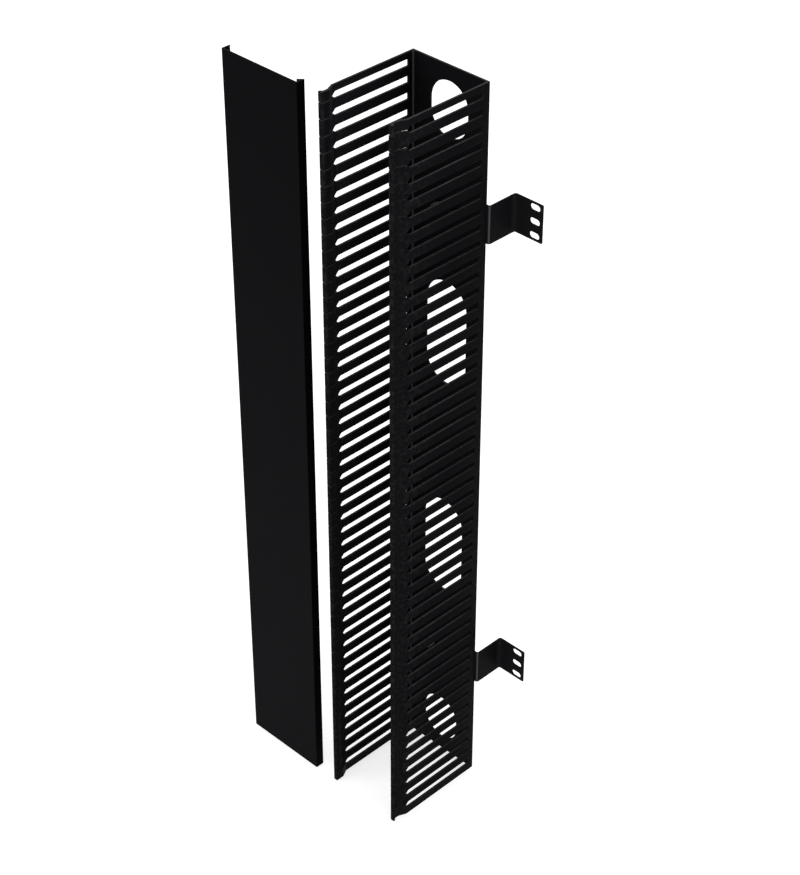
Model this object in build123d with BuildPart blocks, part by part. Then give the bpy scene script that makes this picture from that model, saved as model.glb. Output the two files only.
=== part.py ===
from build123d import *
import os
from math import atan2, radians, sin, tan

# Vertical cable manager for twenty rack units: a slotted finger duct, the cover
# that snaps on its front, and two bent brackets that bolt it to a rack rail.
# Millimetres, +Z up, +Y towards the rack. The origin is on the floor, in the middle
# of the whole assembly. The cover stands beside the duct, as it does when it is off.

os.makedirs("parts", exist_ok=True)

# ---- Driving dimensions --------------------------------------------------------
rack_unit = 44.45
rail_hole_pitch = 15.875

# duct
duct_height = 20 * rack_unit
duct_width = 102.4
duct_depth = 129.4  # rear face to the finger tips
wall = 2.2
corner_radius = 0.5

# finger walls
finger_count = 50
finger_pitch = 18.0
gap_height = 7.6
top_finger_height = 7.4
slit_height = 1.4  # between the heads of two neighbours
finger_root = 8.5  # all depths run forward from the duct's rear face
funnel_start = 107.3
funnel_end = 110.5
joggle_start = 110.5
joggle_end = 119.5
joggle_inset = 4.1
head_wall = 2.8  # the wall is thicker in front of the joggle
hook_foot = 124.7
hook_peak = 127.3
hook_inset = 1.5
nose_chamfer = 0.5

# cable holes in the back wall: width, height and distance from the nearer end
end_hole_width = 50.8
end_hole_height = 61.6
end_hole_from_end = 47.4
middle_hole_width = 57.15
middle_hole_height = 125.0
middle_hole_from_end = 304.8

# cover
cover_width = 107.0
cover_wall = 1.6
cover_front = 131.1
cover_rear = 120.3
catch_reach = 5.7  # how far the catch reaches in from the cover's outer face
catch_lip = 0.6
catch_wall = 1.4
cover_edge_radius = 0.4
cover_shift = 130.7  # how far to the left of its snapped place the cover stands

# brackets
bracket_height = 43.6
bracket_from_end = 3.5 * rack_unit
sheet = 1.6
bend_radius = 1.6  # inside a bend
web_outside = 54.8  # all three run sideways from the duct's middle
ear_end = 91.1
flange_end = 23.0
web_length = 37.8  # duct's rear face to the ear's front face
slot_length = 13.0
slot_width = 7.1
slot_centre = 80.9
slots_per_ear = 3
ear_corner_radius = 1.0

# bracket fasteners
screws_per_bracket = 2
screw_spacing = 25.4
screw_radius = 2.4
screw_hole_radius = 2.65
screw_tail = 2.0  # thread that shows behind the nut
head_radius = 4.75
head_height = 2.8
head_chamfer = 1.2
recess_length = 4.6
recess_width = 1.0
recess_depth = 1.5
nut_sides = 6
nut_across_flats = 8.0
nut_height = 4.2
nut_bore_radius = 2.45

# ---- Places worked out from them -------------------------------------------------
half_width = duct_width / 2
duct_x = (cover_shift + cover_width / 2 - ear_end) / 2
rear_y = (cover_front - web_length - sheet) / 2
cover_x = duct_x - cover_shift

# On a floor plan, x runs from the duct's middle and y from its rear face, so that
# a depth d in front of that face is y = -d.
duct_floor = Plane((duct_x, rear_y, 0))
cover_floor = Plane((cover_x, rear_y, 0))
# The duct's side view: x is the distance behind its rear face, y is the height.
duct_side = Plane((duct_x, rear_y, 0), x_dir=(0, 1, 0), z_dir=(1, 0, 0))
# Looking at the duct's rear face from the front; extruding goes forward.
duct_rear = Plane((duct_x, rear_y, 0), x_dir=(1, 0, 0), z_dir=(0, -1, 0))

gap_count = finger_count - 1
middle_gap_z = (
    duct_height - top_finger_height - gap_height / 2 - finger_pitch * (gap_count - 1) / 2
)

# ---- Back wall with its cable holes ------------------------------------------------
with BuildPart() as duct_back:
    with BuildSketch(duct_floor):
        Rectangle(duct_width, finger_root, align=(Align.CENTER, Align.MAX))
        with Locations((0, -wall)):
            Rectangle(
                duct_width - 2 * wall,
                finger_root,
                align=(Align.CENTER, Align.MAX),
                mode=Mode.SUBTRACT,
            )
    extrude(amount=duct_height)
    rear_corners = duct_back.edges().filter_by(Axis.Z).group_by(Axis.Y)[-1]
    fillet(rear_corners, corner_radius)
    with BuildSketch(duct_rear):
        with Locations((0, end_hole_from_end), (0, duct_height - end_hole_from_end)):
            SlotOverall(end_hole_height, end_hole_width, rotation=90)
        with Locations((0, middle_hole_from_end), (0, duct_height - middle_hole_from_end)):
            SlotOverall(middle_hole_height, middle_hole_width, rotation=90)
        for bracket_z in (bracket_from_end, duct_height - bracket_from_end):
            with Locations((0, bracket_z)):
                with GridLocations(screw_spacing, 0, screws_per_bracket, 1):
                    Circle(screw_hole_radius)
    extrude(amount=wall, mode=Mode.SUBTRACT)

duct_back.part.label = "duct_back"
export_step(duct_back.part, "parts/duct_back.step")

# ---- Finger walls --------------------------------------------------------------------
# One wall is a strip that joggles inwards near its front, to make room for the cover's
# flange, thickens a little and ends in a hook that the cover's catch snaps behind.
# The gaps are then cut through it, so every finger comes out as a solid of its own. Each
# gap narrows through a funnel to the slit that a cable is pushed through.
joggle_angle = atan2(joggle_inset, joggle_end - joggle_start)
inner_bend_shift = wall * tan(joggle_angle / 2)  # keeps the thickness into the joggle
cut_depth = joggle_inset + 2 * head_wall
past_tip = duct_depth + wall

with BuildPart() as left_fingers:
    with BuildSketch(duct_floor) as finger_section:
        with BuildLine():
            Polyline(
                (-half_width, -finger_root),
                (-half_width, -joggle_start),
                (-half_width + joggle_inset, -joggle_end),
                (-half_width + joggle_inset, -hook_foot),
                (-half_width + hook_inset, -hook_peak),
                (-half_width + hook_inset, -duct_depth),
                (-half_width + joggle_inset + head_wall, -duct_depth),
                (-half_width + joggle_inset + head_wall, -joggle_end + inner_bend_shift),
                (-half_width + wall, -joggle_start + inner_bend_shift),
                (-half_width + wall, -finger_root),
                close=True,
            )
        make_face()
        nose_corners = finger_section.vertices().group_by(Axis.Y)[0]
        chamfer(nose_corners, nose_chamfer)
    extrude(amount=duct_height)
    with BuildSketch(duct_side.offset(-half_width)):
        with Locations((0, middle_gap_z)):
            with GridLocations(0, finger_pitch, 1, gap_count):
                Polygon(
                    (0, gap_height / 2),
                    (-funnel_start, gap_height / 2),
                    (-funnel_end, slit_height / 2),
                    (-past_tip, slit_height / 2),
                    (-past_tip, -slit_height / 2),
                    (-funnel_end, -slit_height / 2),
                    (-funnel_start, -gap_height / 2),
                    (0, -gap_height / 2),
                    align=None,
                )
    extrude(amount=cut_depth, mode=Mode.SUBTRACT)

left_fingers.part.label = "left_fingers"
export_step(left_fingers.part, "parts/left_fingers.step")

with BuildPart() as right_fingers:
    mirror(left_fingers.part, about=Plane.YZ.offset(duct_x))

right_fingers.part.label = "right_fingers"
export_step(right_fingers.part, "parts/right_fingers.step")

# ---- Clip-on cover -----------------------------------------------------------------------
# A shallow channel. Each flange ends in a catch, a lip that turns back inwards at 45
# degrees: its rear slope rides over the finger's hook, and its square end then bears on
# the hook's back.
catch_depth = cover_rear + catch_reach - catch_lip
lip_offset = catch_wall * sin(radians(45))
lip_foot = cover_rear - catch_lip + cover_wall + 2 * lip_offset  # where it leaves the flange

with BuildPart() as cover:
    with BuildSketch(cover_floor) as cover_section:
        with BuildLine():
            Polyline(
                (0, -cover_front),
                (cover_width / 2, -cover_front),
                (cover_width / 2, -cover_rear),
                (cover_width / 2 - catch_lip, -cover_rear),
                (cover_width / 2 - catch_reach, -catch_depth),
                (cover_width / 2 - catch_reach + lip_offset, -catch_depth - lip_offset),
                (cover_width / 2 - cover_wall, -lip_foot),
                (cover_width / 2 - cover_wall, -cover_front + cover_wall),
                (0, -cover_front + cover_wall),
                close=True,
            )
        make_face()
        mirror(about=Plane.YZ)
        front_points = cover_section.vertices().group_by(Axis.Y)[0].sort_by(Axis.X)
        fillet([front_points[0], front_points[-1]], cover_edge_radius)
    extrude(amount=duct_height)

cover.part.label = "cover"
export_step(cover.part, "parts/cover.step")

# ---- Brackets, their screws and their nuts ------------------------------------------------
# The flange lies on the back of the duct, the web runs rearwards beside it, and the ear
# turns outwards, so that its slots meet the holes of the rack's rail.
outer_bend = bend_radius + sheet
bracket_levels = (
    ("upper", duct_height - bracket_from_end),
    ("lower", bracket_from_end),
)

for level, bracket_z in bracket_levels:
    bracket_base = duct_floor.offset(bracket_z - bracket_height / 2)
    with BuildPart() as bracket:
        with BuildSketch(bracket_base):
            with BuildLine():
                front_side = FilletPolyline(
                    (-flange_end, 0),
                    (web_outside, 0),
                    (web_outside, web_length),
                    (ear_end, web_length),
                    radius=(outer_bend, bend_radius),
                )
                offset(front_side, sheet, side=Side.LEFT)
            make_face()
        extrude(amount=bracket_height)
        ear_corners = bracket.edges().filter_by(Axis.Y).group_by(Axis.X)[-1]
        fillet(ear_corners, ear_corner_radius)
        with BuildSketch(duct_rear.offset(-web_length)):
            with Locations((slot_centre, bracket_z)):
                with GridLocations(0, rail_hole_pitch, 1, slots_per_ear):
                    SlotOverall(slot_length, slot_width)
        extrude(amount=-sheet, mode=Mode.SUBTRACT)
        with BuildSketch(duct_rear):
            with Locations((0, bracket_z)):
                with GridLocations(screw_spacing, 0, screws_per_bracket, 1):
                    Circle(screw_hole_radius)
        extrude(amount=-sheet, mode=Mode.SUBTRACT)
    bracket.part.label = f"{level}_bracket"
    export_step(bracket.part, f"parts/{level}_bracket.step")

    # Pan-head screws go in from inside the duct.
    head_seat = duct_rear.offset(wall)
    shank_length = wall + sheet + nut_height + screw_tail
    with BuildPart() as screws:
        with BuildSketch(head_seat):
            with Locations((0, bracket_z)):
                with GridLocations(screw_spacing, 0, screws_per_bracket, 1):
                    Circle(head_radius)
        extrude(amount=head_height)
        head_rims = screws.edges().filter_by(GeomType.CIRCLE).group_by(Axis.Y)[0]
        chamfer(head_rims, head_chamfer)
        with BuildSketch(head_seat):
            with Locations((0, bracket_z)):
                with GridLocations(screw_spacing, 0, screws_per_bracket, 1):
                    Circle(screw_radius)
        extrude(amount=-shank_length)
        with BuildSketch(head_seat.offset(head_height)):
            with Locations((0, bracket_z)):
                with GridLocations(screw_spacing, 0, screws_per_bracket, 1):
                    Rectangle(recess_length, recess_width)
                    Rectangle(recess_width, recess_length)
        extrude(amount=-recess_depth, mode=Mode.SUBTRACT)
    screws.part.label = f"{level}_bracket_screws"
    export_step(screws.part, f"parts/{level}_bracket_screws.step")

    # Plain nuts bear on the back of the bracket.
    nut_seat = duct_rear.offset(-sheet)
    with BuildPart() as nuts:
        with BuildSketch(nut_seat):
            with Locations((0, bracket_z)):
                with GridLocations(screw_spacing, 0, screws_per_bracket, 1):
                    RegularPolygon(nut_across_flats / 2, nut_sides, major_radius=False)
        extrude(amount=-nut_height)
        with BuildSketch(nut_seat):
            with Locations((0, bracket_z)):
                with GridLocations(screw_spacing, 0, screws_per_bracket, 1):
                    Circle(nut_bore_radius)
        extrude(amount=-nut_height, mode=Mode.SUBTRACT)
    nuts.part.label = f"{level}_bracket_nuts"
    export_step(nuts.part, f"parts/{level}_bracket_nuts.step")
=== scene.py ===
# %% [markdown]
# # A vertical cable manager, dressed for the camera
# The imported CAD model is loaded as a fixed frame. Each visible piece is then modelled
# again with soft edges, in the place that the frame gives, and gets its own finish.
# CAD solids have knife-sharp edges, and an edge without any radius catches no light,
# so most of the work here is in the edges.

# %% Load the frame
from math import cos, pi, radians, sin, sqrt

import bmesh
import bpy
from mathutils import Matrix, Vector


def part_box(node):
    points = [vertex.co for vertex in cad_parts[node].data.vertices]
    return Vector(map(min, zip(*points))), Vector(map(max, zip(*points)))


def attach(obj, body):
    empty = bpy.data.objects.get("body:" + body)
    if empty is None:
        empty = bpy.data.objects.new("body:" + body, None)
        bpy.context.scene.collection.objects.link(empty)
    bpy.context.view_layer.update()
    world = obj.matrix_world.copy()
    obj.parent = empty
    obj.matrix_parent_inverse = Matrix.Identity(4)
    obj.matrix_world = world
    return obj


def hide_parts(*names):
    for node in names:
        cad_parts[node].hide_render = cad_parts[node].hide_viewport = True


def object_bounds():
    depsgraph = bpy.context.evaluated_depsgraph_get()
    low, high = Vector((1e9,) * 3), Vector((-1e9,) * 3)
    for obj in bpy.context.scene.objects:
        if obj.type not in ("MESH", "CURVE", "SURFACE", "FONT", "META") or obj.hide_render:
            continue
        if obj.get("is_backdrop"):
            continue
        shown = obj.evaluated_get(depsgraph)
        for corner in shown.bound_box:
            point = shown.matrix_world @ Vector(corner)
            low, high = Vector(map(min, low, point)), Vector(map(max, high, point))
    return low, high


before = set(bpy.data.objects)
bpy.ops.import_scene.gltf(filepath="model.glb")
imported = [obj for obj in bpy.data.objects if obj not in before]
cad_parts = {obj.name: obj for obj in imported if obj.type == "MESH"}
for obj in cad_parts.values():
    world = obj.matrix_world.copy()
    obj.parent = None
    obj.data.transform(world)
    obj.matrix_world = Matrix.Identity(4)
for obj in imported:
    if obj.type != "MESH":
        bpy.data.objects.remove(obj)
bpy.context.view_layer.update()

mm = 0.001
X, Y, Z = range(3)

# %% [markdown]
# ## Helpers for modelling
# Everything is made with the operators that a person would click. An operator acts on
# whatever is selected, so these helpers clear the selection first, and pick faces,
# edges or points by where they are.

# %% Helpers: select, open and close a piece
def select_only(*objects):
    bpy.ops.object.select_all(action="DESELECT")
    for each in objects:
        each.select_set(True)
    bpy.context.view_layer.objects.active = objects[0]


def open_piece(piece):
    select_only(piece)
    bpy.ops.object.mode_set(mode="EDIT")
    bpy.ops.mesh.select_all(action="DESELECT")


def close_piece():
    bpy.ops.object.mode_set(mode="OBJECT")


def pick(kind, test):
    """In edit mode, selects the FACE, EDGE or VERT elements that pass the test."""
    bpy.ops.mesh.select_mode(type=kind)
    bpy.ops.mesh.select_all(action="DESELECT")
    mesh = bpy.context.edit_object.data
    points = bmesh.from_edit_mesh(mesh)
    elements = {"FACE": points.faces, "EDGE": points.edges, "VERT": points.verts}[kind]
    count = 0
    for element in elements:
        if test(element):
            element.select_set(True)
            count += 1
    points.select_flush_mode()
    bmesh.update_edit_mesh(mesh)
    return count


# %% Helpers: middle and direction of what is picked
def middle(element):
    return sum((v.co for v in element.verts), Vector()) / len(element.verts)


def looks(face, axis, sign):
    """Whether a face looks along an axis (sign 1) or against it (sign -1)."""
    return face.normal[axis] * sign > 0.9


def near(a, b, within=0.02 * mm):
    return abs(a - b) < within


def along(edge, axis):
    run = edge.verts[1].co - edge.verts[0].co
    return abs(run[axis]) > 0.999 * run.length


# %% Helpers: primitives to start from
def freeze():
    """Writes the selected objects' place, turn and size into their points."""
    bpy.ops.object.transform_apply(location=True, rotation=True, scale=True)


def start_block(name, low, high):
    """A cube primitive that fills the box from low to high, in millimetres."""
    low, high = Vector(low) * mm, Vector(high) * mm
    bpy.ops.object.select_all(action="DESELECT")
    bpy.ops.mesh.primitive_cube_add(size=1, location=(low + high) / 2, scale=high - low)
    piece = bpy.context.object
    freeze()
    piece.name = piece.data.name = name
    return piece


def start_cylinder(sides, radius, length, place=(0, 0, 0), lying=True):
    """A cylinder primitive, in millimetres, that lies along y or stands up."""
    bpy.ops.object.select_all(action="DESELECT")
    bpy.ops.mesh.primitive_cylinder_add(
        vertices=sides, radius=radius * mm, depth=length * mm,
        rotation=(pi / 2 if lying else 0, 0, 0), location=tuple(v * mm for v in place),
    )
    return bpy.context.object


# %% Helpers: edits to an open piece
weld = 0.01 * mm


def pull(x, y, z):
    """Extrudes what is picked, by so many millimetres."""
    bpy.ops.mesh.extrude_region_move(TRANSFORM_OT_translate={"value": (x * mm, y * mm, z * mm)})


def cut_ends(low, high):
    """Cuts off all that lies below and above two heights, in millimetres, and fills the ends."""
    for height, direction in ((low, -1), (high, 1)):
        bpy.ops.mesh.select_all(action="SELECT")
        bpy.ops.mesh.bisect(
            plane_co=(0, 0, height * mm), plane_no=(0, 0, direction), use_fill=True,
            clear_outer=True,
        )


def clean_up():
    """Joins points that lie on each other and turns every face outwards."""
    bpy.ops.mesh.select_all(action="SELECT")
    bpy.ops.mesh.remove_doubles(threshold=weld)
    bpy.ops.mesh.normals_make_consistent(inside=False)


# %% Helpers: modifiers, and the last step of every piece
def apply_modifier(piece, kind, **settings):
    select_only(piece)
    modifier = piece.modifiers.new(kind.lower(), kind)
    for key, value in settings.items():
        setattr(modifier, key, value)
    bpy.ops.object.modifier_apply(modifier=modifier.name)


def soften(piece, width, segments=2, angle=35):
    """Rounds every edge that is sharper than the angle."""
    apply_modifier(
        piece, "BEVEL", width=width * mm, segments=segments, limit_method="ANGLE",
        angle_limit=radians(angle), harden_normals=True, use_clamp_overlap=True,
    )


def move_to(piece, place):
    select_only(piece)
    bpy.ops.transform.translate(value=place)
    freeze()


def mirror_sideways(piece):
    apply_modifier(
        piece, "MIRROR", use_axis=(True, False, False), use_clip=True, merge_threshold=weld
    )


def cut_away(piece, cutters):
    for cutter in cutters:
        apply_modifier(piece, "BOOLEAN", operation="DIFFERENCE", object=cutter, solver="EXACT")
        bpy.data.objects.remove(cutter)


def smooth_shade(piece, angle=40):
    """Smooth across edges up to the angle, while large flat faces keep their own direction."""
    large_faces_lead = 90
    select_only(piece)
    bpy.ops.object.shade_smooth_by_angle(angle=radians(angle))
    apply_modifier(piece, "WEIGHTED_NORMAL", keep_sharp=True, weight=large_faces_lead)


def finish_piece(piece, body, material, nodes):
    piece.data.materials.clear()
    piece.data.materials.append(material)
    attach(piece, body)
    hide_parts(*nodes)
    piece.data.calc_loop_triangles()
    size = [round(v / mm, 1) for v in piece.dimensions]
    print(piece.name, size, "mm,", len(piece.data.loop_triangles), "triangles")


# %% [markdown]
# ## The camera
# It looks down on the stood-up duct from its right front corner. Its target is close to
# the middle of the model, and the long lens keeps the upright edges nearly parallel.

# %% The camera
view_azimuth, view_elevation, view_roll = radians(45.048), radians(35.489), radians(-0.06)
view_distance = 2368.05 * mm
duct_low, duct_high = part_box("duct_back")
duct_place = Vector(((duct_low[0] + duct_high[0]) / 2, duct_high[1], duct_low[2]))
target = duct_place + Vector((-38.1, -36.7, 445.1)) * mm
towards = Vector((
    -sin(view_azimuth) * cos(view_elevation),
    cos(view_azimuth) * cos(view_elevation),
    -sin(view_elevation),
))
camera_data = bpy.data.cameras.new("camera")
camera_data.lens = 90.49
camera_data.shift_x = 0.0040
camera_data.shift_y = 0.0038
camera = bpy.data.objects.new("camera", camera_data)
bpy.context.collection.objects.link(camera)
turn = towards.to_track_quat("-Z", "Y").to_matrix().to_4x4()
camera.matrix_world = (
    Matrix.Translation(target - towards * view_distance) @ turn @ Matrix.Rotation(view_roll, 4, "Z")
)
bpy.context.scene.camera = camera
print("camera at", [round(v, 3) for v in camera.location])

# %% [markdown]
# ## Shared effects, as node groups
# Some effects are used by more than one finish: worn edges with a painted edge highlight,
# painted highlights on bends, the fine lines that a die leaves along an extrusion, the grain
# of a surface, a painted highlight on sawn ends, a trace of dust that also paints a highlight
# on what faces up, and which way a face looks. Each is built once as a group that puts out a
# mask or a height. The shader itself stays in the material, where its plain numbers can be read.

# %% Helpers: nodes and groups
def new_group(name, inputs, outputs):
    group = bpy.data.node_groups.new(name, "ShaderNodeTree")
    for title, value in inputs:
        socket = group.interface.new_socket(title, in_out="INPUT", socket_type="NodeSocketFloat")
        socket.default_value = value
    for title in outputs:
        group.interface.new_socket(title, in_out="OUTPUT", socket_type="NodeSocketFloat")
    return group, group.nodes.new("NodeGroupInput"), group.nodes.new("NodeGroupOutput")


def node(tree, kind, settings=(), links=(), **values):
    """Adds a node, sets its options and plain inputs, and links the inputs named."""
    made = tree.nodes.new("ShaderNode" + kind)
    for key, value in dict(settings).items():
        setattr(made, key, value)
    for key, value in values.items():
        made.inputs[key.replace("_", " ")].default_value = value
    for key, source in dict(links).items():
        tree.links.new(source, made.inputs[key])
    return made


def maths(tree, operation, first, second=0.5, clamp=False):
    made = tree.nodes.new("ShaderNodeMath")
    made.operation, made.use_clamp = operation, clamp
    for index, value in enumerate((first, second)):
        if isinstance(value, (int, float)):
            made.inputs[index].default_value = value
        else:
            tree.links.new(value, made.inputs[index])
    return made.outputs[0]


def spread(tree, value, low, high, to_low=0.0, to_high=1.0):
    """Stretches the range from low to high over 0 to 1, or over what is given, and clamps it."""
    made = node(tree, "MapRange", {"clamp": True})
    tree.links.new(value, made.inputs["Value"])
    for title, number in (
        ("From Min", low), ("From Max", high), ("To Min", to_low), ("To Max", to_high)
    ):
        made.inputs[title].default_value = number
    return made.outputs["Result"]


# %% Effect: worn edges, and a painted edge highlight
# On the plastics and the powder coat the pale edges are a painted highlight; on the plated steel they
# are wear.
edge_sheen_and_wear, wear_in, wear_out = new_group(
    "edge_highlight_and_wear", [("Radius", 0.6 * mm), ("Patchiness", 60.0)], ["Mask"]
)
rounded = node(edge_sheen_and_wear, "Bevel", {"samples": 4}, {"Radius": wear_in.outputs["Radius"]})
facing = node(edge_sheen_and_wear, "NewGeometry")
likeness = node(edge_sheen_and_wear, "VectorMath", {"operation": "DOT_PRODUCT"})
edge_sheen_and_wear.links.new(rounded.outputs["Normal"], likeness.inputs[0])
edge_sheen_and_wear.links.new(facing.outputs["Normal"], likeness.inputs[1])
place = node(edge_sheen_and_wear, "TexCoord")
patches = node(
    edge_sheen_and_wear, "TexNoise", {}, {"Vector": place.outputs["Object"], "Scale": wear_in.outputs["Patchiness"]},
    Detail=4.0,
)
edge = spread(edge_sheen_and_wear, likeness.outputs["Value"], 0.97, 0.75)
patch = spread(edge_sheen_and_wear, patches.outputs["Fac"], 0.35, 0.65, 0.25, 1.0)
edge_sheen_and_wear.links.new(maths(edge_sheen_and_wear, "MULTIPLY", edge, patch, True), wear_out.inputs["Mask"])

# %% Effect: bends, the faces that turn round the upright edges, where a highlight is painted
# On a flat side the normal points along x or along y, so the product of the two is zero.
# It is largest half-way round a bend, where it is a half. Start is the product at which
# the mask sets in.
bend_start, bend_full = 0.18, 0.46
bend_highlights, bends_in, bends_out = new_group("bend_highlights", [("Evenness", 0.7), ("Start", bend_start)], ["Mask"])
facing = node(bend_highlights, "NewGeometry")
parts = node(bend_highlights, "SeparateXYZ", {}, {"Vector": facing.outputs["Normal"]})
both_ways = maths(bend_highlights, "ABSOLUTE", maths(bend_highlights, "MULTIPLY", parts.outputs["X"], parts.outputs["Y"]))
turned_away = spread(bend_highlights, both_ways, bend_start, bend_full)
bend_highlights.links.new(bends_in.outputs["Start"], turned_away.node.inputs["From Min"])
# Noise makes the painted highlight patchy, never weaker than Evenness.
place = node(bend_highlights, "TexCoord")
highlight_spots = node(bend_highlights, "TexNoise", {}, {"Vector": place.outputs["Object"]}, Scale=90.0, Detail=3.0)
patchy_highlight = spread(bend_highlights, highlight_spots.outputs["Fac"], 0.3, 0.7)
patchy_highlight = maths(bend_highlights, "MAXIMUM", patchy_highlight, bends_in.outputs["Evenness"])
bend_highlights.links.new(maths(bend_highlights, "MULTIPLY", turned_away, patchy_highlight, True), bends_out.inputs["Mask"])

# %% Effect: die lines along an extrusion
# Noise that is squeezed across the length and stretched along it turns into lines.
lines, lines_in, lines_out = new_group(
    "die_lines", [("Fineness", 700.0), ("Run", 1.5)], ["Height", "Streak"]
)
place = node(lines, "TexCoord")
split = node(lines, "SeparateXYZ", {}, {"Vector": place.outputs["Object"]})
across = maths(lines, "MULTIPLY", split.outputs["X"], lines_in.outputs["Fineness"])
deep = maths(lines, "MULTIPLY", split.outputs["Y"], lines_in.outputs["Fineness"])
upward = maths(lines, "MULTIPLY", split.outputs["Z"], lines_in.outputs["Run"])
stretched = node(lines, "CombineXYZ", {}, {"X": across, "Y": deep, "Z": upward})
fine = node(lines, "TexNoise", {}, {"Vector": stretched.outputs["Vector"]}, Scale=1.0, Detail=3.0)
broad = node(lines, "TexNoise", {}, {"Vector": stretched.outputs["Vector"]}, Scale=0.08, Detail=2.0)
lines.links.new(fine.outputs["Fac"], lines_out.inputs["Height"])
lines.links.new(spread(lines, broad.outputs["Fac"], 0.35, 0.65), lines_out.inputs["Streak"])

# %% Effect: the grain of a surface
grain, grain_in, grain_out = new_group("surface_grain", [("Scale", 1500.0)], ["Height", "Cloud"])
place = node(grain, "TexCoord")
small = node(
    grain, "TexNoise", {}, {"Vector": place.outputs["Object"], "Scale": grain_in.outputs["Scale"]},
    Detail=2.0,
)
cloud = node(grain, "TexNoise", {}, {"Vector": place.outputs["Object"]}, Scale=14.0, Detail=3.0)
grain.links.new(small.outputs["Fac"], grain_out.inputs["Height"])
grain.links.new(spread(grain, cloud.outputs["Fac"], 0.3, 0.7), grain_out.inputs["Cloud"])

# %% Effect: a trace of dust on what faces up, which also paints a highlight there
dust_and_top_sheen, dust_in, dust_out = new_group("dust_and_top_sheen", [("Amount", 0.2)], ["Mask"])
facing = node(dust_and_top_sheen, "NewGeometry")
upright = node(dust_and_top_sheen, "SeparateXYZ", {}, {"Vector": facing.outputs["Normal"]})
place = node(dust_and_top_sheen, "TexCoord")
specks = node(dust_and_top_sheen, "TexNoise", {}, {"Vector": place.outputs["Object"]}, Scale=220.0, Detail=6.0)
# Only faces that look up get it, so besides dust it paints a highlight where light falls from above.
upwards = spread(dust_and_top_sheen, upright.outputs["Z"], 0.5, 0.95)
speckle = spread(dust_and_top_sheen, specks.outputs["Fac"], 0.45, 0.7)
settled = maths(dust_and_top_sheen, "MULTIPLY", upwards, speckle, True)
settled = maths(dust_and_top_sheen, "MULTIPLY", settled, dust_in.outputs["Amount"], True)
dust_and_top_sheen.links.new(settled, dust_out.inputs["Mask"])

# %% Effect: a painted highlight on the faces that a saw or a punch has cut across the height
cut, cut_in, cut_out = new_group("cut_face_highlights", [("Evenness", 0.6)], ["Mask"])
facing = node(cut, "NewGeometry")
upright = node(cut, "SeparateXYZ", {}, {"Vector": facing.outputs["True Normal"]})
level = spread(cut, maths(cut, "ABSOLUTE", upright.outputs["Z"]), 0.8, 0.95)
# Noise makes the painted highlight patchy.
place = node(cut, "TexCoord")
cut_highlight_patches = node(cut, "TexNoise", {}, {"Vector": place.outputs["Object"]}, Scale=400.0, Detail=4.0)
rough = spread(cut, cut_highlight_patches.outputs["Fac"], 0.3, 0.7)
rough = maths(cut, "MAXIMUM", rough, cut_in.outputs["Evenness"])
cut.links.new(maths(cut, "MULTIPLY", level, rough, True), cut_out.inputs["Mask"])

# %% Effect: which way a flat face looks
facings, _, facings_out = new_group("facings", [], ["Sideways", "Forward"])
facing = node(facings, "NewGeometry")
parts = node(facings, "SeparateXYZ", {}, {"Vector": facing.outputs["Normal"]})
for title, axis in (("Sideways", "X"), ("Forward", "Y")):
    turned = spread(facings, maths(facings, "ABSOLUTE", parts.outputs[axis]), 0.7, 0.95)
    facings.links.new(turned, facings_out.inputs[title])


# %% Helpers: place a group in a material, mix two colours
def effect(tree, group, **values):
    made = tree.nodes.new("ShaderNodeGroup")
    made.node_tree = group
    for key, value in values.items():
        made.inputs[key].default_value = value
    return made


def blend_colours(tree, mask, first, second):
    """The first colour where the mask is 0, the second where it is 1."""
    made = node(tree, "Mix", {"data_type": "RGBA"})
    tree.links.new(mask, made.inputs[0])
    for index, value in ((6, first), (7, second)):
        if isinstance(value, tuple):
            made.inputs[index].default_value = (*value, 1)
        else:
            tree.links.new(value, made.inputs[index])
    return made.outputs[2]


def new_finish(name, specular):
    """A material with its Principled shader; returns what the next cells link to."""
    finish = bpy.data.materials.new(name)
    finish.use_nodes = True
    tree = finish.node_tree
    shader = tree.nodes["Principled BSDF"]
    shader.inputs["Specular IOR Level"].default_value = specular
    return finish, tree, shader


# %% [markdown]
# ## Black plastic
# The duct and its cover are extruded in black rigid vinyl. The die leaves very fine
# lines along the length, and the surface has a dull, slightly cloudy sheen. The gaps
# are punched afterwards. Paler bends, edges and cut faces are painted highlights, and
# the trace of dust on what faces up also paints a highlight there.
# The colours are laid over each other like coats: each mask lets the next one through.
# Roughness is given as its lowest and its highest value.

# %% A recipe for the plastic
dust_and_sheen_grey = (0.12, 0.12, 0.12)


def plastic(name, specular, roughness, colour, streak, bend, cut_face_highlight, painted_highlight, shade=None):
    finish, tree, shader = new_finish(name, specular)
    die = effect(tree, lines)
    skin = effect(tree, grain, Scale=1800.0)
    base = blend_colours(tree, die.outputs["Streak"], colour, streak)
    if shade:
        base = shade(tree, base)
    # Painted highlights: the bend, cut-face and edge coats, and the dust coat on what faces up.
    for mask, coat in (
        (effect(tree, bend_highlights), bend),
        (effect(tree, cut), cut_face_highlight),
        (effect(tree, edge_sheen_and_wear, Radius=0.5 * mm), painted_highlight),
        (effect(tree, dust_and_top_sheen, Amount=0.12), dust_and_sheen_grey),
    ):
        base = blend_colours(tree, mask.outputs["Mask"], base, coat)
    tree.links.new(base, shader.inputs["Base Color"])
    sheen = spread(tree, skin.outputs["Cloud"], 0.0, 1.0, *roughness)
    tree.links.new(sheen, shader.inputs["Roughness"])
    height = maths(tree, "MULTIPLY", skin.outputs["Height"], 0.6)
    height = maths(tree, "ADD", height, die.outputs["Height"])
    bump = node(tree, "Bump", {}, {"Height": height}, Strength=0.12, Distance=0.04 * mm)
    tree.links.new(bump.outputs["Normal"], shader.inputs["Normal"])
    return finish


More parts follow.
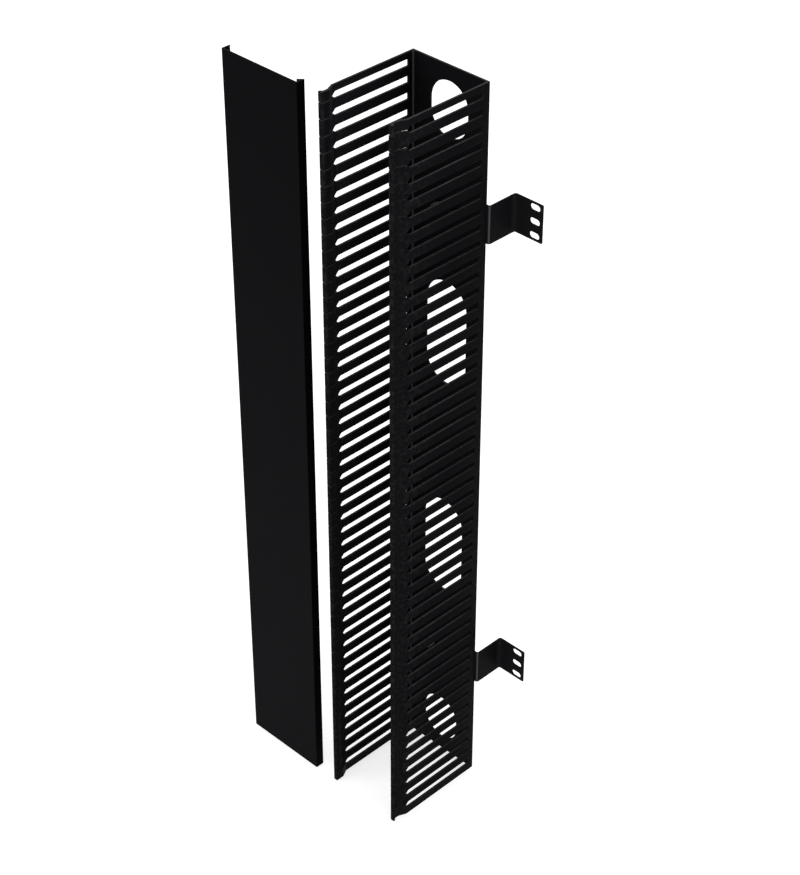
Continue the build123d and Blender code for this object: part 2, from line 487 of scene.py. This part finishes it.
# %% The duct's plastic, with painted light on forward faces and towards the finger tips
def along_axis(tree, axis, start, end):
    """A mask that grows from 0 to 1 between two places along an axis."""
    place = node(tree, "TexCoord")
    split = node(tree, "SeparateXYZ", {}, {"Vector": place.outputs["Object"]})
    return spread(tree, split.outputs[axis], start, end)


def painted_light_to_tips(tree, base):
    """Painted light: faces that look along y, among them the back wall, are paler, and the fingers grow
    paler towards their tips.
    """
    turned = effect(tree, facings)
    base = blend_colours(tree, turned.outputs["Forward"], base, (0.0060, 0.0060, 0.0070))
    forward = along_axis(tree, "Y", duct_place.y - 10 * mm, duct_place.y - 125 * mm)
    return blend_colours(tree, forward, base, (0.0072, 0.0072, 0.0084))


duct_plastic = plastic(
    "black_duct_plastic", specular=0.012, roughness=(0.42, 0.52),
    colour=(0.0036, 0.0036, 0.0043), streak=(0.0044, 0.0044, 0.0052),
    bend=(0.0125, 0.0125, 0.0140), cut_face_highlight=(0.028, 0.028, 0.030), painted_highlight=(0.023, 0.023, 0.025),
    shade=painted_light_to_tips,
)
# The inner corners' plastic is far paler than the walls: a painted highlight.
painted_corner_highlight_finish = plastic(
    "black_inner_corner_highlight", specular=0.05, roughness=(0.34, 0.44),
    colour=(0.030, 0.030, 0.034), streak=(0.045, 0.045, 0.050),
    bend=(0.045, 0.045, 0.050), cut_face_highlight=(0.030, 0.030, 0.033), painted_highlight=(0.040, 0.040, 0.043),
)


# %% The cover's plastic, with painted shade on its flanges and towards the top
def painted_shade_on_flanges(tree, base):
    """Painted shade on the flanges, and a painted floor reflection that makes the front paler at the
    foot.
    """
    upwards = along_axis(tree, "Z", duct_low[2], duct_high[2])
    base = blend_colours(tree, upwards, base, (0.0050, 0.0050, 0.0058))
    turned = effect(tree, facings)
    return blend_colours(tree, turned.outputs["Sideways"], base, (0.0022, 0.0022, 0.0027))


cover_plastic = plastic(
    "black_cover_plastic", specular=0.006, roughness=(0.47, 0.52),
    colour=(0.0086, 0.0086, 0.0098), streak=(0.0094, 0.0094, 0.0107),
    bend=(0.0080, 0.0080, 0.0092), cut_face_highlight=(0.012, 0.012, 0.013), painted_highlight=(0.010, 0.010, 0.011),
    shade=painted_shade_on_flanges,
)

# %% [markdown]
# ## Black powder coat
# The brackets are bent steel with a baked powder coat. Powder melts into a skin with a
# faint orange-peel ripple a millimetre or two across. The faces on the outside of a bend
# get a paler coat of their own, which is a painted highlight.

# %% Painted light on the brackets' ears and inner corners
# The sizes are in millimetres, from the middle of the duct's rear face.
sheet, web_outside, web_length = 1.6, 54.8, 37.8


def painted_light_on_ears(tree, base):
    """Painted light: faces that look along y, the ears among them, are paler, and so is the inner
    corner beside them.
    """
    turned = effect(tree, facings)
    base = blend_colours(tree, turned.outputs["Forward"], base, (0.0140, 0.0140, 0.0156))
    place = node(tree, "TexCoord")
    away = node(tree, "VectorMath", {"operation": "SUBTRACT"}, {0: place.outputs["Object"]})
    away.inputs[1].default_value = duct_place + Vector((web_outside, web_length, 0)) * mm
    level = node(tree, "VectorMath", {"operation": "MULTIPLY"}, {0: away.outputs["Vector"]})
    level.inputs[1].default_value = (1, 1, 0)
    distance = node(tree, "VectorMath", {"operation": "LENGTH"}, {0: level.outputs["Vector"]})
    inner_corner_light = spread(tree, distance.outputs["Value"], 1.5 * mm, 7 * mm, 1.0, 0.0)
    return blend_colours(tree, inner_corner_light, base, (0.0180, 0.0180, 0.0200))


# %% The brackets' powder coat
def powder(name, bend):
    finish, tree, shader = new_finish(name, 0.015)
    peel = effect(tree, grain, Scale=650.0)
    base = blend_colours(
        tree, peel.outputs["Cloud"], (0.0052, 0.0052, 0.0061), (0.0066, 0.0066, 0.0077)
    )
    base = painted_light_on_ears(tree, base)
    for mask, coat in (
        (effect(tree, bend_highlights, Evenness=0.8, Start=0.34), bend),
        (effect(tree, edge_sheen_and_wear, Radius=0.4 * mm), (0.022, 0.022, 0.023)),
        (effect(tree, dust_and_top_sheen, Amount=0.15), dust_and_sheen_grey),
    ):
        base = blend_colours(tree, mask.outputs["Mask"], base, coat)
    tree.links.new(base, shader.inputs["Base Color"])
    sheen = spread(tree, peel.outputs["Cloud"], 0.0, 1.0, 0.48, 0.58)
    tree.links.new(sheen, shader.inputs["Roughness"])
    bump = node(tree, "Bump", {}, {"Height": peel.outputs["Height"]}, Strength=0.18, Distance=0.08 * mm)
    tree.links.new(bump.outputs["Normal"], shader.inputs["Normal"])
    return finish


powder_coat = powder("black_powder_coat", bend=(0.010, 0.010, 0.011))
# The second coat is a painted highlight for the outside of the bends.
bend_highlight_coat = powder("bend_highlight_coat", bend=(0.100, 0.100, 0.104))

# %% [markdown]
# ## Blackened steel
# Screws and nuts are steel with a thin black plating. It is metal, so it mirrors its
# surroundings darkly, and the plating has rubbed off a little on the corners.

# %% The fasteners' plating
black_plating, tree, shader = new_finish("black_plated_steel", 0.5)
skin = effect(tree, grain, Scale=2200.0)
rub = effect(tree, edge_sheen_and_wear, Radius=0.3 * mm, Patchiness=300.0)
base = blend_colours(tree, skin.outputs["Cloud"], (0.045, 0.045, 0.047), (0.060, 0.060, 0.062))
base = blend_colours(tree, rub.outputs["Mask"], base, (0.22, 0.22, 0.22))
tree.links.new(base, shader.inputs["Base Color"])
shader.inputs["Metallic"].default_value = 0.9
sheen = spread(tree, skin.outputs["Height"], 0.3, 0.7, 0.30, 0.44)
tree.links.new(sheen, shader.inputs["Roughness"])
bump = node(tree, "Bump", {}, {"Height": skin.outputs["Height"]}, Strength=0.15, Distance=0.03 * mm)
tree.links.new(bump.outputs["Normal"], shader.inputs["Normal"])

# %% [markdown]
# ## The duct, one storey at a time
# The duct is one piece: a back wall with two walls of fingers. It could be a long
# block with a hundred gaps cut in it, but all storeys are alike, so half of one storey
# is modelled, mirrored across the middle and stacked fifty times. It is made round the
# origin, with the duct's rear face at y = 0, and moved to its place at the end.

# %% The duct's sizes, in millimetres
fingers_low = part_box("left_fingers")[0]
duct_height = (duct_high[2] - duct_low[2]) / mm
half_width = (duct_high[0] - duct_low[0]) / 2 / mm
finger_root = (duct_high[1] - duct_low[1]) / mm
finger_tip = (duct_high[1] - fingers_low[1]) / mm
wall, head_wall = 2.2, 2.8
outer_corner, inner_corner = 0.5, 1.5
finger_count, finger_pitch, top_finger_height = 50, 18.0, 7.4
gap_height, slit_height = 7.6, 1.4
root_height, finger_head_height = finger_pitch - gap_height, finger_pitch - slit_height
top_gap_middle = duct_height - top_finger_height - gap_height / 2
bottom_finger_middle = top_gap_middle - finger_pitch * (finger_count - 1.5)
print("duct stands at", [round(v, 4) for v in duct_place], "fingers", finger_root, "to", finger_tip)

# %% One storey: the back wall and the foot of the side wall
storey = start_block(
    "finger_duct", (0, -wall, -finger_pitch / 2), (half_width - wall, 0, finger_pitch / 2)
)
open_piece(storey)
pick("FACE", lambda f: looks(f, X, 1))
pull(wall, 0, 0)
pick("FACE", lambda f: looks(f, Y, -1) and middle(f).x > (half_width - wall) * mm)
pull(0, -(finger_root - wall), 0)
for height in (-root_height / 2, root_height / 2):
    bpy.ops.mesh.select_all(action="SELECT")
    bpy.ops.mesh.bisect(plane_co=(0, 0, height * mm), plane_no=(0, 0, 1))


# %% The finger's lines, from its root to its tip
# A line is a row of points: the depth in front of the rear face, and a value there. Two
# lines say how far the finger's outer and inner side stand in from the duct's side.
funnel_start, joggle_start, joggle_end = 107.3, 110.5, 119.5
joggle_inset, inner_lead = 4.1, 0.478
hook_foot, hook_peak, hook_inset, nose = 124.7, 127.3, 1.5, 0.5
inner_side_of_head = joggle_inset + head_wall
outer_line = [
    (0, 0), (joggle_start, 0), (joggle_end, joggle_inset), (hook_foot, joggle_inset),
    (hook_peak, hook_inset), (finger_tip - nose, hook_inset), (finger_tip, hook_inset + nose),
]
inner_line = [
    (0, wall), (joggle_start - inner_lead, wall), (joggle_end - inner_lead, inner_side_of_head),
    (finger_tip - nose, inner_side_of_head), (finger_tip, inner_side_of_head - nose),
]
height_line = [
    (0, root_height), (funnel_start, root_height), (joggle_start, finger_head_height),
    (finger_tip, finger_head_height),
]


def line_at(line, depth):
    """The value of a line at a depth, between the two points that lie round it."""
    for (start, start_value), (end, end_value) in zip(line, line[1:]):
        if depth <= end:
            return start_value + (end_value - start_value) * (depth - start) / (end - start)


depths = sorted({point[0] for point in outer_line + inner_line + height_line} - {0})
print("stations along a finger, mm:", depths)

# %% The finger: pulled forward from station to station
pick("FACE", lambda f: looks(f, Y, -1) and middle(f).y < -(finger_root - 0.1) * mm
     and abs(middle(f).z) < 1 * mm)
last_depth, last_outer, last_inner, last_height = finger_root, 0, wall, root_height
for depth in depths:
    outer, inner, height = (line_at(line, depth) for line in (outer_line, inner_line, height_line))
    shift = (last_outer + last_inner - outer - inner) / 2
    pull(shift, last_depth - depth, 0)
    bpy.ops.transform.resize(
        value=((inner - outer) / (last_inner - last_outer), 1, height / last_height),
        center_override=((half_width - (outer + inner) / 2) * mm, -depth * mm, 0),
    )
    last_depth, last_outer, last_inner, last_height = depth, outer, inner, height

# %% The storey's open ends, mirrored and stacked
edge_of_storey = finger_pitch / 2 * mm
pick("FACE", lambda f: abs(f.normal.z) > 0.9 and near(abs(middle(f).z), edge_of_storey)
     and middle(f).y > -(finger_root + 0.1) * mm)
bpy.ops.mesh.delete(type="FACE")
pick("FACE", lambda f: looks(f, X, -1) and near(middle(f).x, 0))
bpy.ops.mesh.delete(type="FACE")
close_piece()
mirror_sideways(storey)
move_to(storey, (0, 0, bottom_finger_middle * mm))
apply_modifier(
    storey, "ARRAY", count=finger_count, use_relative_offset=False, use_constant_offset=True,
    constant_offset_displace=(0, 0, finger_pitch * mm), use_merge_vertices=True,
    merge_threshold=weld,
)
duct = storey
print("fingers stacked:", finger_count, "on each side")

# %% The duct's ends, cut square
open_piece(duct)
cut_ends(0, duct_height)
clean_up()
close_piece()

# %% Round the rear corners, outside and inside
open_piece(duct)
for behind, beside, radius in (
    (0, half_width, outer_corner), (-wall, half_width - wall, inner_corner)
):
    corner_edges = pick("EDGE", lambda e: along(e, Z) and near(middle(e).y, behind * mm)
                        and near(abs(middle(e).x), beside * mm))
    bpy.ops.mesh.bevel(offset=radius * mm, segments=4, affect="EDGES")
    print("corner edges:", corner_edges, "radius", radius)
close_piece()

# %% [markdown]
# ## Cable holes
# A long hole with round ends is a block whose corners are bevelled until they meet.
# The hole's rim is softened with the rest of the duct afterwards.

# %% Cut the cable holes
def long_hole(name, middle_x, middle_z, width, height, deep=(-10, 10), steps=18):
    """A cutter through y, round at the ends of its longer side, in millimetres."""
    cutter = start_block(
        name, (middle_x - width / 2, deep[0], middle_z - height / 2),
        (middle_x + width / 2, deep[1], middle_z + height / 2),
    )
    open_piece(cutter)
    pick("EDGE", lambda e: along(e, Y))
    bpy.ops.mesh.bevel(offset=min(width, height) / 2 * mm, segments=steps, affect="EDGES")
    clean_up()
    close_piece()
    return cutter


end_hole, middle_hole = (47.4, 50.8, 61.6), (304.8, 57.15, 125.0)
holes = []
for from_end, width, height in (end_hole, middle_hole):
    for level in (from_end, duct_height - from_end):
        holes.append(long_hole("cable_hole", 0, level, width, height))
cut_away(duct, holes)
soften(duct, 0.35, segments=1)
move_to(duct, duct_place)

# %% The duct's finish
# The rounded inner corners are smoother than the flat walls and carry a painted
# highlight, so they get a plastic of their own.
smooth_shade(duct)
finish_piece(
    duct, "duct", duct_plastic, ("duct_back", "left_fingers", "right_fingers")
)
duct.data.materials.append(painted_corner_highlight_finish)


def in_the_inner_corner(face):
    inwards = half_width * mm - abs(face.center.x - duct_place.x)
    forwards = duct_place.y - face.center.y
    turned = abs(face.normal.x) > 0.1 and abs(face.normal.y) > 0.1 and abs(face.normal.z) < 0.1
    start, end = wall * mm, wall * mm + inner_corner * mm
    return turned and start < inwards < end and start < forwards < end


corner_faces = [face for face in duct.data.polygons if in_the_inner_corner(face)]
for face in corner_faces:
    face.material_index = 1
print("faces of the two inner corners:", len(corner_faces))

# %% [markdown]
# ## The cover
# The cover is a shallow channel of constant section, so its section is drawn on the
# floor and pulled up. Half of the section is a strip of small faces: the front, the
# corner, the flange, and the lip that turns back inwards and snaps behind the fingers'
# hooks.

# %% The cover's section, pulled up and mirrored
cover_low, cover_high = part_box("cover")
cover_height = (cover_high[2] - cover_low[2]) / mm
half_cover = (cover_high[0] - cover_low[0]) / 2 / mm
cover_place = Vector(((cover_low[0] + cover_high[0]) / 2, cover_high[1], cover_low[2]))
cover_depth = (cover_high[1] - cover_low[1]) / mm
skin_thickness, lip_thickness = 1.6, 1.4
rear_edge, lip_reach = 0.6, 5.7
lip_slant = lip_thickness * sin(pi / 4)
lip_rear_foot = skin_thickness - rear_edge
lip_front_foot = lip_rear_foot + 2 * lip_slant
cover = start_block(
    "front_cover", (0, -cover_depth, 0),
    (half_cover - skin_thickness, -cover_depth + skin_thickness, cover_height),
)
open_piece(cover)
pick("FACE", lambda f: looks(f, X, 1))
pull(skin_thickness, 0, 0)
pick("FACE", lambda f: looks(f, Y, 1) and middle(f).x > (half_cover - skin_thickness) * mm)
from_front = cover_depth - skin_thickness
for stop in (lip_front_foot, lip_rear_foot, 0):
    pull(0, from_front - stop, 0)
    from_front = stop
inner_side = (half_cover - skin_thickness) * mm
pick("VERT", lambda v: near(v.co.x, inner_side) and near(v.co.y, 0))
bpy.ops.transform.translate(value=(lip_rear_foot * mm, 0, 0))
pick("FACE", lambda f: looks(f, X, -1) and near(middle(f).y, -(lip_rear_foot + lip_slant) * mm))
lip_length = lip_reach - skin_thickness
pull(-lip_length, -lip_length, 0)
pick("VERT", lambda v: near(v.co.x, inner_side - lip_length * mm)
     and v.co.y < -(lip_front_foot - 0.1) * mm - lip_length * mm)
bpy.ops.transform.translate(value=(lip_slant * mm, lip_slant * mm, 0))
pick("FACE", lambda f: looks(f, X, -1) and near(middle(f).x, 0))
bpy.ops.mesh.delete(type="FACE")
close_piece()
mirror_sideways(cover)

# %% The cover's edges and finish
open_piece(cover)
pick("EDGE", lambda e: along(e, Z) and near(abs(middle(e).x), half_cover * mm)
     and near(middle(e).y, -cover_depth * mm))
bpy.ops.mesh.bevel(offset=0.4 * mm, segments=3, affect="EDGES")
close_piece()
soften(cover, 0.25, segments=2)
move_to(cover, cover_place)
smooth_shade(cover)
finish_piece(cover, "cover", cover_plastic, ("cover",))

# %% [markdown]
# ## The brackets
# A bracket is one strip of sheet steel with two bends. The strip starts as the flange
# behind the duct. Its end face is spun through a quarter circle for each bend and pulled
# straight between the bends, which is how the metal itself was made. Both brackets are
# alike, so the second is a copy.

# %% The bracket's strip and bends
inside_bend, flange_end, ear_end, ear_corner = 1.6, 23.0, 91.1, 1.0
low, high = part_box("upper_bracket")
bracket_height = (high[2] - low[2]) / mm
outside_bend = inside_bend + sheet
bend_steps = 8
bracket = start_block(
    "upper_rack_bracket", (-flange_end, 0, -bracket_height / 2),
    (web_outside - outside_bend, sheet, bracket_height / 2),
)
open_piece(bracket)
pick("FACE", lambda f: looks(f, X, 1))
bpy.ops.mesh.spin(
    steps=bend_steps, angle=pi / 2, axis=(0, 0, -1),
    center=((web_outside - outside_bend) * mm, outside_bend * mm, 0),
)
pick("FACE", lambda f: looks(f, Y, 1) and middle(f).x > (web_outside - sheet) * mm
     and near(middle(f).y, outside_bend * mm))
pull(0, web_length - inside_bend - outside_bend, 0)
pick("FACE", lambda f: looks(f, Y, 1) and near(middle(f).y, (web_length - inside_bend) * mm))
bpy.ops.mesh.spin(
    steps=bend_steps, angle=pi / 2, axis=(0, 0, 1),
    center=((web_outside + inside_bend) * mm, (web_length - inside_bend) * mm, 0),
)
pick("FACE", lambda f: looks(f, X, 1) and near(middle(f).x, (web_outside + inside_bend) * mm)
     and middle(f).y > web_length * mm)
pull(ear_end - web_outside - inside_bend, 0, 0)
clean_up()
pick("EDGE", lambda e: along(e, Y) and near(middle(e).x, ear_end * mm))
bpy.ops.mesh.bevel(offset=ear_corner * mm, segments=4, affect="EDGES")
close_piece()
print("bent strip, mm:", [round(v / mm, 2) for v in bracket.dimensions])
bend_middles = [
    Vector((web_outside - outside_bend, outside_bend)) * mm,
    Vector((web_outside + inside_bend, web_length - inside_bend)) * mm,
]

# %% The ear's slots and the holes for the screws
slot_middle, slot_pitch, slot_length, slot_width = 80.9, 15.875, 13.0, 7.1
screw_spacing, screw_hole_radius, right_through = 25.4, 2.65, 20
through_the_ear = (web_length - 5, web_length + 8)
slots = [
    long_hole("ear_slot", slot_middle, level * slot_pitch, slot_length, slot_width, through_the_ear)
    for level in (-1, 0, 1)
]
cut_away(bracket, slots)
soften(bracket, 0.25, segments=2)
screw_holes = [
    start_cylinder(32, screw_hole_radius, right_through, (side * screw_spacing / 2, 0, 0))
    for side in (-1, 1)
]
cut_away(bracket, screw_holes)

# %% Two brackets in place
def copy_piece(piece, name):
    copied = piece.copy()
    copied.data = piece.data.copy()
    copied.name = copied.data.name = name
    bpy.context.collection.objects.link(copied)
    return copied


bracket_levels = {}
for level in ("upper", "lower"):
    low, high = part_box(f"{level}_bracket")
    bracket_levels[level] = (low[2] + high[2]) / 2
lower = copy_piece(bracket, "lower_rack_bracket")
for level, piece in (("upper", bracket), ("lower", lower)):
    move_to(piece, (duct_place.x, duct_place.y, bracket_levels[level]))
    smooth_shade(piece)
    finish_piece(piece, "duct", powder_coat, (f"{level}_bracket",))

# %% The painted highlight coat on the outside of the bends
def outside_a_bend(face):
    """Whether an upright, turned face lies about an outer radius away from a bend's middle."""
    if min(abs(face.normal.x), abs(face.normal.y)) < 0.05 or abs(face.normal.z) > 0.1:
        return False
    spot = face.center.xy - duct_place.xy
    reach = min((spot - bend_middle).length for bend_middle in bend_middles)
    return inside_bend + sheet / 2 < reach / mm < outside_bend + 0.2


for piece in (bracket, lower):
    piece.data.materials.append(bend_highlight_coat)
    bend_highlight_faces = [face for face in piece.data.polygons if outside_a_bend(face)]
    for face in bend_highlight_faces:
        face.material_index = 1
    print(piece.name, "rubbed faces:", len(bend_highlight_faces))

# %% [markdown]
# ## The screws
# A pan head with a cross recess, and a real thread. The thread is one tooth of its
# profile wound up a helix with the Screw modifier, which leaves both ends open, so the
# ends are cut square and filled. The screw is modelled standing up, then laid down.

# %% The thread
screw_radius, thread_pitch, thread_depth = 2.4, 0.8, 0.42
nut_height, screw_tail, first_cut = 4.2, 2.0, 0.4
shank_length = wall + sheet + nut_height + screw_tail
bpy.ops.object.select_all(action="DESELECT")
bpy.ops.mesh.primitive_plane_add(size=1)
screw = bpy.context.object
screw.name = screw.data.name = "screw"
freeze()
open_piece(screw)
pick("VERT", lambda v: v.co.x < 0)
bpy.ops.mesh.delete(type="VERT")
tooth = [
    (screw_radius - thread_depth, 0.0), (screw_radius - thread_depth, 0.1),
    (screw_radius, 0.38), (screw_radius, 0.48), (screw_radius - thread_depth, thread_pitch),
]
pick("VERT", lambda v: v.co.y < 0)
bpy.ops.transform.translate(value=(tooth[0][0] * mm - 0.5, 0.5, -thread_pitch * mm))
pick("VERT", lambda v: v.co.y > 0.25)
bpy.ops.mesh.delete(type="VERT")
pick("VERT", lambda v: True)
last = tooth[0]
for point in tooth[1:]:
    pull(point[0] - last[0], 0, point[1] - last[1])
    last = point
close_piece()
turns = int(shank_length / thread_pitch) + 3
apply_modifier(
    screw, "SCREW", angle=2 * pi, screw_offset=thread_pitch * mm, iterations=turns,
    steps=24, render_steps=24, use_merge_vertices=True, merge_threshold=weld,
)
open_piece(screw)
bpy.ops.mesh.select_all(action="SELECT")
bpy.ops.mesh.remove_doubles(threshold=weld)
cut_ends(first_cut, first_cut + shank_length)
bpy.ops.mesh.select_all(action="SELECT")
bpy.ops.mesh.normals_make_consistent(inside=False)
close_piece()
move_to(screw, (0, 0, -(first_cut + shank_length) * mm))
print("thread, mm:", [round(v / mm, 2) for v in screw.dimensions])

# %% The pan head and its cross recess
head_radius, head_height, head_rounding = 4.75, 2.8, 1.2
half_slot, arm, recess_depth, taper = 0.5, 1.8, 1.7, 0.55
head = start_cylinder(40, head_radius, head_height, (0, 0, head_height / 2), lying=False)
freeze()
open_piece(head)
pick("EDGE", lambda e: near(middle(e).z, head_height * mm) and near(e.verts[0].co.z, e.verts[1].co.z))
bpy.ops.mesh.bevel(offset=head_rounding * mm, segments=5, affect="EDGES")
close_piece()
recess = start_block(
    "recess", (-half_slot, -half_slot, head_height - recess_depth),
    (half_slot, half_slot, head_height + 0.5),
)
open_piece(recess)
for x, y in ((1, 0), (-1, 0), (0, 1), (0, -1)):
    pick("FACE", lambda f: f.normal.x * x + f.normal.y * y > 0.9 and middle(f).xy.length < 0.6 * mm)
    pull(x * arm, y * arm, 0)
pick("VERT", lambda v: v.co.z < head_height * mm - 1 * mm)
bpy.ops.transform.resize(value=(taper, taper, 1), center_override=(0, 0, 0))
close_piece()
cut_away(head, [recess])
select_only(screw, head)
bpy.ops.object.join()
print("screw, mm:", [round(v / mm, 2) for v in screw.dimensions])

# %% Four screws in place
select_only(screw)
bpy.ops.transform.rotate(value=pi / 2, orient_axis="X", center_override=(0, 0, 0))
freeze()
print("head points to", "front" if min(v.co.y for v in screw.data.vertices) < -5 * mm else "rear")
seat_y = duct_place.y - wall * mm


def place_pairs(fastener, kind, y, angle, node_kind):
    """Copies a fastener to both screw places of each bracket, joins each pair, removes the original."""
    for level, height in bracket_levels.items():
        pair = []
        for side in (-1, 1):
            one = copy_piece(fastener, f"{level}_{node_kind}_{'left' if side < 0 else 'right'}")
            move_to(one, (duct_place.x + side * screw_spacing / 2 * mm, y, height))
            smooth_shade(one, angle)
            pair.append(one)
        select_only(*pair)
        bpy.ops.object.join()
        pair[0].name = pair[0].data.name = f"{level}_{kind}"
        finish_piece(pair[0], "duct", black_plating, (f"{level}_bracket_{node_kind}",))
    bpy.data.objects.remove(fastener)


place_pairs(screw, "pan_head_screws", seat_y, 35, "screws")

# %% [markdown]
# ## The nuts
# A nut is a six-sided bar, bored, with its corners turned off by a lathe. The bar is
# intersected with a wide disc whose rims are bevelled, which leaves the curved corners.

# %% The nut
across_flats, bore, corner_chamfer = 8.0, 2.45, 0.55
corner_radius = across_flats / sqrt(3)
a_little_wider = 1.01
nut = start_cylinder(6, corner_radius, nut_height)
freeze()
disc = start_cylinder(48, corner_radius * a_little_wider, nut_height)
freeze()
open_piece(disc)
pick("EDGE", lambda e: near(e.verts[0].co.y, e.verts[1].co.y))
bpy.ops.mesh.bevel(offset=corner_chamfer * mm, segments=1, affect="EDGES")
close_piece()
apply_modifier(nut, "BOOLEAN", operation="INTERSECT", object=disc, solver="EXACT")
bpy.data.objects.remove(disc)
cut_away(nut, [start_cylinder(32, bore, right_through)])
print("nut, mm:", [round(v / mm, 2) for v in nut.dimensions])

# %% Four nuts in place
nut_y = duct_place.y + (sheet + nut_height / 2) * mm
place_pairs(nut, "hex_nuts", nut_y, 25, "nuts")

# %% [markdown]
# ## Floor, light and background
# The object stands on a plain floor in a white room. Where they are seen, straight or in
# a reflection, the floor glows and the room is full white. For all other light the room
# is dimmer and the floor doesn't glow, so that the lamps shape the object.

# %% Helper: what is seen, and not only lights the rest
def seen_rays(tree):
    """1 on rays from the camera and on those that came by a reflection or through glass."""
    paths = node(tree, "LightPath")
    seen = maths(tree, "MAXIMUM", paths.outputs["Is Camera Ray"], paths.outputs["Is Glossy Ray"])
    return maths(tree, "MAXIMUM", seen, paths.outputs["Is Transmission Ray"])


# %% The floor
floor_size = 30
bpy.ops.object.select_all(action="DESELECT")
bpy.ops.mesh.primitive_plane_add(size=floor_size)
floor = bpy.context.object
floor.name = "floor"
floor_finish = bpy.data.materials.new("studio_floor")
floor_finish.use_nodes = True
tree = floor_finish.node_tree
shader = tree.nodes["Principled BSDF"]
shader.inputs["Base Color"].default_value = (0.5, 0.5, 0.5, 1)
shader.inputs["Roughness"].default_value = 0.9
glow = node(tree, "Emission")
glow.inputs["Color"].default_value = (1, 1, 1, 1)
glow.inputs["Strength"].default_value = 0.70
seen = seen_rays(tree)
both = node(tree, "AddShader")
tree.links.new(shader.outputs[0], both.inputs[0])
tree.links.new(glow.outputs[0], both.inputs[1])
chosen = node(tree, "MixShader")
tree.links.new(seen, chosen.inputs[0])
tree.links.new(shader.outputs[0], chosen.inputs[1])
tree.links.new(both.outputs[0], chosen.inputs[2])
tree.links.new(chosen.outputs[0], tree.nodes["Material Output"].inputs["Surface"])
floor.data.materials.append(floor_finish)
floor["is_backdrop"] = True
print("floor, m:", list(floor.dimensions)[:2])

# %% The white room
room = bpy.data.worlds.new("white_room")
bpy.context.scene.world = room
room.use_nodes = True
tree = room.node_tree
plain = tree.nodes["Background"]
plain.inputs["Color"].default_value = (1, 1, 1, 1)
plain.inputs["Strength"].default_value = 0.6
white = node(tree, "Background")
white.inputs["Color"].default_value = (1, 1, 1, 1)
white.inputs["Strength"].default_value = 1.0
seen = seen_rays(tree)
chosen = node(tree, "MixShader")
tree.links.new(seen, chosen.inputs[0])
tree.links.new(plain.outputs[0], chosen.inputs[1])
tree.links.new(white.outputs[0], chosen.inputs[2])
tree.links.new(chosen.outputs[0], tree.nodes["World Output"].inputs["Surface"])

# %% The lamps
# Places and sizes are in metres, powers in watts. All lamps look at the object's middle.
aimed_at = Vector((0, 0, 0.45))


def soft_lamp(name, place, power, size):
    data = bpy.data.lights.new(name, "AREA")
    data.energy, data.size = power, size
    lamp = bpy.data.objects.new(name, data)
    bpy.context.collection.objects.link(lamp)
    lamp.location = place
    aim = aimed_at - Vector(place)
    lamp.rotation_euler = aim.to_track_quat("-Z", "Y").to_euler()
    print("lamp", name, "at", place)


soft_lamp("key", (-1.4, -2.2, 2.6), power=32, size=1.6)
soft_lamp("fill", (2.7, -0.5, 1.5), power=14, size=1.8)
soft_lamp("top", (0.3, 0.4, 3.0), power=20, size=1.6)
soft_lamp("rear", (-1.7, 2.4, 1.9), power=26, size=1.8)

# %% [markdown]
# ## The last line
# The box of the dressed object is printed, because dressing
# must not change the object's size.

# %% Sizes, and finish
bpy.context.scene.view_settings.view_transform = "Standard"
low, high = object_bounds()
print("dressed box, mm:", [round((b - a) / mm, 2) for a, b in zip(low, high)])
